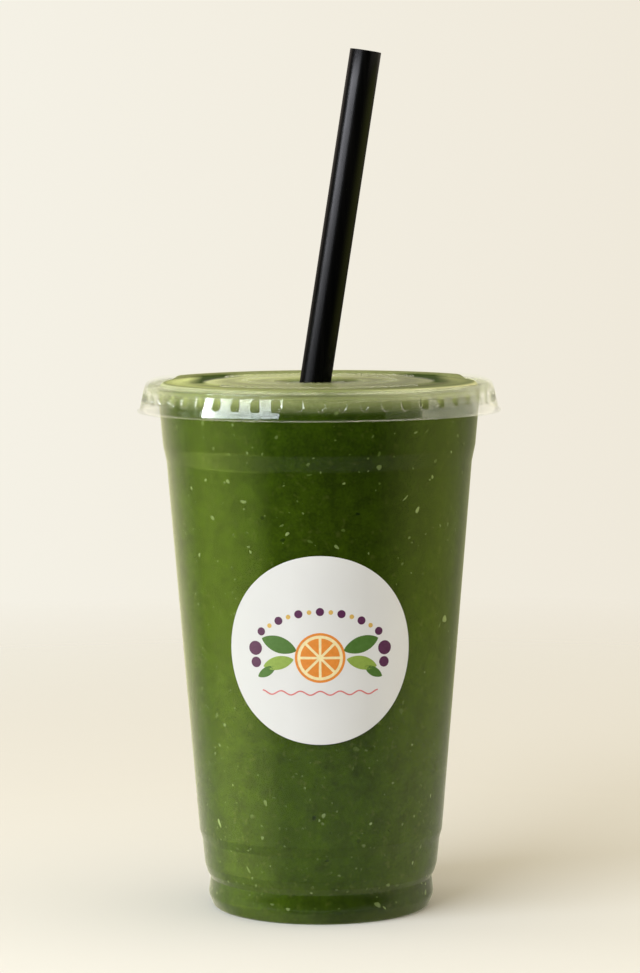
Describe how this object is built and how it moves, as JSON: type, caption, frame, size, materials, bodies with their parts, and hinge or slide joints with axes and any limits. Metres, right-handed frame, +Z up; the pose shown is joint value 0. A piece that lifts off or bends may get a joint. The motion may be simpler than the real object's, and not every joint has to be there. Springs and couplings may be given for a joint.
{
  "type": "green smoothie in a lidded cup",
  "caption": "Green smoothie in a clear tapered plastic cup with a flat snap lid, a wide black straw through the lid and a round white sticker.",
  "frame": {"origin": "on the cup's axis, in the plane that its foot stands on", "axes": "+Z up along the cup's axis; the sticker faces -Y; the straw leans towards +X"},
  "size_m": [0.104, 0.104, 0.246],
  "materials": {
    "clear_plastic": "clear gloss, thin moulded plastic",
    "lid_plastic": "clear gloss, thin formed plastic",
    "black_plastic": "satin black",
    "green_drink": "thick blended drink with fine pulp specks",
    "white_paper": "satin coated sticker"
  },
  "bodies": {
    "root": {"cup": "clear_plastic", "lid": "lid_plastic", "straw": "black_plastic", "smoothie": "green_drink", "sticker": "white_paper"}
  },
  "joints": []
}
